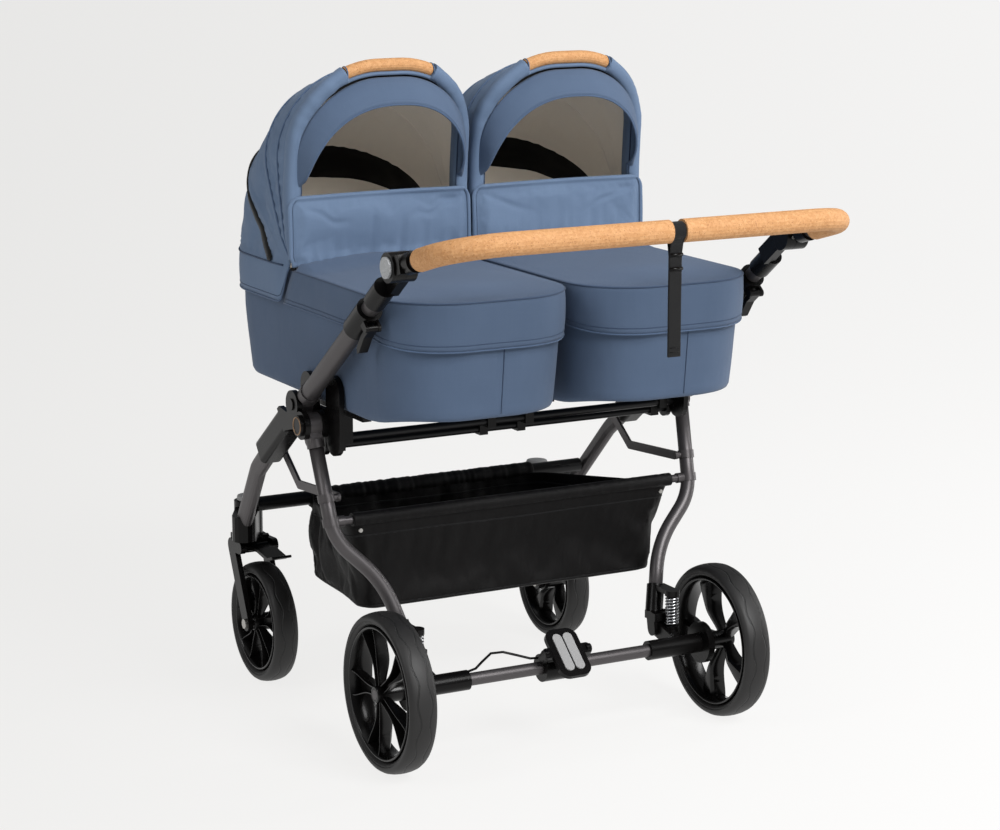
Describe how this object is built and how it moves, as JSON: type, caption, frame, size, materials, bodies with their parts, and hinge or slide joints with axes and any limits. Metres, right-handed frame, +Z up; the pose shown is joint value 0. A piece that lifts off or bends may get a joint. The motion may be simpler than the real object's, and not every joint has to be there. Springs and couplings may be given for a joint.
{
  "type": "twin pram",
  "caption": "Side-by-side pram with separate carrycots, folding hoods, telescopic tilting cork-grip handle, cloth basket, sprung rear axle and swivelling front wheels",
  "frame": {"origin": "on the floor under the middle of the whole pram", "axes": "+Z up, +Y the way it travels, +X to the right of travel"},
  "size_m": [0.778, 1.0258, 1.1497],
  "materials": {
    "frame_tube": "satin graphite",
    "black_plastic": "fine matte",
    "black_steel": "satin black",
    "cable_rubber": "matte",
    "spring_chrome": "bright",
    "pale_plastic": "satin",
    "basket_cloth": "woven",
    "grip_cork": "cork-pattern wrap",
    "strap_web": "webbing",
    "tyre_rubber": "matte",
    "cot_cloth": "woven",
    "mattress_cloth": "cotton"
  },
  "bodies": {
    "chassis": {"front_legs": "frame_tube", "cross_bars": "black_steel", "hubs": "black_plastic", "pivot_bolts": "black_plastic", "cot_carriers": "black_plastic", "caster_barrels": "black_plastic", "basket": "basket_cloth"},
    "rear_frame": {"rear_leg_tubes": "frame_tube", "leg_knuckles": "black_plastic", "basket_rod": "frame_tube", "spring_brackets": "black_plastic"},
    "rear_axle_unit": {"rear_axle": "black_steel", "swing_arms": "black_plastic", "brake_housing": "black_plastic", "brake_cable": "cable_rubber", "rear_springs": "spring_chrome"},
    "brake_pedal": {"brake_pedal": "black_plastic", "pedal_pads": "pale_plastic"},
    "push_arms": {"push_arms": "frame_tube", "arm_collars": "black_plastic"},
    "handle_slide": {"slide_tubes": "frame_tube", "tilt_bases": "black_plastic"},
    "handle_bar": {"handle_tube": "frame_tube", "tilt_heads": "black_plastic", "handle_grips": "grip_cork"},
    "wrist_strap": {"wrist_strap": "strap_web"},
    "strut_left": {"strut_left": "frame_tube"},
    "rear_wheel_left": {"rear_tyre_left": "tyre_rubber", "rear_rim_left": "black_plastic"},
    "caster_left": {"fork_left": "black_plastic", "front_axle_left": "spring_chrome"},
    "lock_lever_left": {"lock_lever_left": "black_plastic"},
    "front_wheel_left": {"front_tyre_left": "tyre_rubber", "front_rim_left": "black_plastic"},
    "clamp_lever_left": {"clamp_lever_left": "black_plastic"},
    "tilt_button_left": {"tilt_button_left": "pale_plastic"},
    "cot_left": {"cot_shell_left": "cot_cloth", "mattress_left": "mattress_cloth", "apron_left": "cot_cloth", "canopy_left": "cot_cloth"},
    "flap_left": {"wind_flap_left": "cot_cloth"},
    "hood_left": {"hood_bow_left": "cot_cloth", "hood_grip_left": "grip_cork"},
    "strut_right": {"strut_right": "frame_tube"},
    "rear_wheel_right": {"rear_tyre_right": "tyre_rubber", "rear_rim_right": "black_plastic"},
    "caster_right": {"fork_right": "black_plastic", "front_axle_right": "spring_chrome"},
    "lock_lever_right": {"lock_lever_right": "black_plastic"},
    "front_wheel_right": {"front_tyre_right": "tyre_rubber", "front_rim_right": "black_plastic"},
    "clamp_lever_right": {"clamp_lever_right": "black_plastic"},
    "tilt_button_right": {"tilt_button_right": "pale_plastic"},
    "cot_right": {"cot_shell_right": "cot_cloth", "mattress_right": "mattress_cloth", "apron_right": "cot_cloth", "canopy_right": "cot_cloth"},
    "flap_right": {"wind_flap_right": "cot_cloth"},
    "hood_right": {"hood_bow_right": "cot_cloth", "hood_grip_right": "grip_cork"}
  },
  "joints": [
    {"name": "arm_fold", "type": "hinge", "parent": "chassis", "child": "push_arms", "pos_m": [0, 0.07692, 0.582], "axis": [-1, 0, 0], "range_deg": [0, 135]},
    {"name": "leg_fold", "type": "hinge", "parent": "chassis", "child": "rear_frame", "pos_m": [0, 0.04192, 0.552], "axis": [1, 0, 0], "range_deg": [0, 34], "deforming": ["basket"]},
    {"name": "suspension", "type": "hinge", "parent": "rear_frame", "child": "rear_axle_unit", "pos_m": [0, -0.09707, 0.15], "axis": [-1, 0, 0], "range_deg": [-2, 6], "stiffness_Nm_per_rad": 500, "springref_deg": -0.76, "deforming": ["rear_springs"]},
    {"name": "brake_press", "type": "hinge", "parent": "rear_axle_unit", "child": "brake_pedal", "pos_m": [0, -0.18043, 0.15568], "axis": [1, 0, 0], "range_deg": [-12, 12]},
    {"name": "handle_extend", "type": "slide", "parent": "push_arms", "child": "handle_slide", "axis": [0, -0.7976, 0.6032], "range_m": [0, 0.09]},
    {"name": "handle_tilt", "type": "hinge", "parent": "handle_slide", "child": "handle_bar", "pos_m": [0, -0.29794, 0.86551], "axis": [-1, 0, 0], "range_deg": [-50, 60]},
    {"name": "strap_swing", "type": "hinge", "parent": "handle_bar", "child": "wrist_strap", "pos_m": [0.015, -0.49443, 0.92037], "axis": [1, 0, 0], "range_deg": [-60, 45]},
    {"name": "strut_fold_left", "type": "hinge", "parent": "rear_frame", "child": "strut_left", "pos_m": [-0.3325, 0.00467, 0.43187], "axis": [1, 0, 0], "range_deg": [-60, 0]},
    {"name": "rear_roll_left", "type": "hinge", "parent": "rear_axle_unit", "child": "rear_wheel_left", "pos_m": [-0.321, -0.16307, 0.135], "axis": [-1, 0, 0], "continuous": true},
    {"name": "swivel_left", "type": "hinge", "parent": "chassis", "child": "caster_left", "pos_m": [-0.303, 0.46292, 0.29], "axis": [0, 0, 1], "continuous": true},
    {"name": "lock_press_left", "type": "hinge", "parent": "caster_left", "child": "lock_lever_left", "pos_m": [-0.303, 0.42292, 0.246], "axis": [1, 0, 0], "range_deg": [0, 12]},
    {"name": "front_roll_left", "type": "hinge", "parent": "caster_left", "child": "front_wheel_left", "pos_m": [-0.303, 0.39792, 0.11], "axis": [-1, 0, 0], "continuous": true},
    {"name": "clamp_open_left", "type": "hinge", "parent": "push_arms", "child": "clamp_lever_left", "pos_m": [-0.362, -0.19739, 0.7531], "axis": [-1, 0, 0], "range_deg": [0, 80]},
    {"name": "tilt_release_left", "type": "slide", "parent": "handle_bar", "child": "tilt_button_left", "axis": [1, 0, 0], "range_m": [0, 0.0035], "stiffness_N_per_m": 800, "springref_m": -0.002},
    {"name": "cot_lift_left", "type": "slide", "parent": "chassis", "child": "cot_left", "axis": [0, 0, 1], "range_m": [0, 0.16]},
    {"name": "flap_fold_left", "type": "hinge", "parent": "cot_left", "child": "flap_left", "pos_m": [-0.173, 0.15493, 0.818], "axis": [1, 0, 0], "range_deg": [0, 80]},
    {"name": "hood_fold_left", "type": "hinge", "parent": "cot_left", "child": "hood_left", "pos_m": [-0.173, 0.16692, 0.802], "axis": [-1, 0, 0], "range_deg": [0, 80], "deforming": ["canopy_left"]},
    {"name": "strut_fold_right", "type": "hinge", "parent": "rear_frame", "child": "strut_right", "pos_m": [0.3325, 0.00467, 0.43187], "axis": [1, 0, 0], "range_deg": [-60, 0]},
    {"name": "rear_roll_right", "type": "hinge", "parent": "rear_axle_unit", "child": "rear_wheel_right", "pos_m": [0.321, -0.16307, 0.135], "axis": [-1, 0, 0], "continuous": true},
    {"name": "swivel_right", "type": "hinge", "parent": "chassis", "child": "caster_right", "pos_m": [0.303, 0.46292, 0.29], "axis": [0, 0, 1], "continuous": true},
    {"name": "lock_press_right", "type": "hinge", "parent": "caster_right", "child": "lock_lever_right", "pos_m": [0.303, 0.42292, 0.246], "axis": [1, 0, 0], "range_deg": [0, 12]},
    {"name": "front_roll_right", "type": "hinge", "parent": "caster_right", "child": "front_wheel_right", "pos_m": [0.303, 0.39792, 0.11], "axis": [-1, 0, 0], "continuous": true},
    {"name": "clamp_open_right", "type": "hinge", "parent": "push_arms", "child": "clamp_lever_right", "pos_m": [0.362, -0.19739, 0.7531], "axis": [-1, 0, 0], "range_deg": [0, 80]},
    {"name": "tilt_release_right", "type": "slide", "parent": "handle_bar", "child": "tilt_button_right", "axis": [-1, 0, 0], "range_m": [0, 0.0035], "stiffness_N_per_m": 800, "springref_m": -0.002},
    {"name": "cot_lift_right", "type": "slide", "parent": "chassis", "child": "cot_right", "axis": [0, 0, 1], "range_m": [0, 0.16]},
    {"name": "flap_fold_right", "type": "hinge", "parent": "cot_right", "child": "flap_right", "pos_m": [0.173, 0.15493, 0.818], "axis": [1, 0, 0], "range_deg": [0, 80]},
    {"name": "hood_fold_right", "type": "hinge", "parent": "cot_right", "child": "hood_right", "pos_m": [0.173, 0.16692, 0.802], "axis": [-1, 0, 0], "range_deg": [0, 80], "deforming": ["canopy_right"]}
  ],
  "couplings": [
    {"joint": "leg_fold", "follows": "arm_fold", "ratio": 0.25185},
    {"joint": "strut_fold_left", "follows": "arm_fold", "ratio": -0.43704},
    {"joint": "strut_fold_right", "follows": "arm_fold", "ratio": -0.43704}
  ]
}
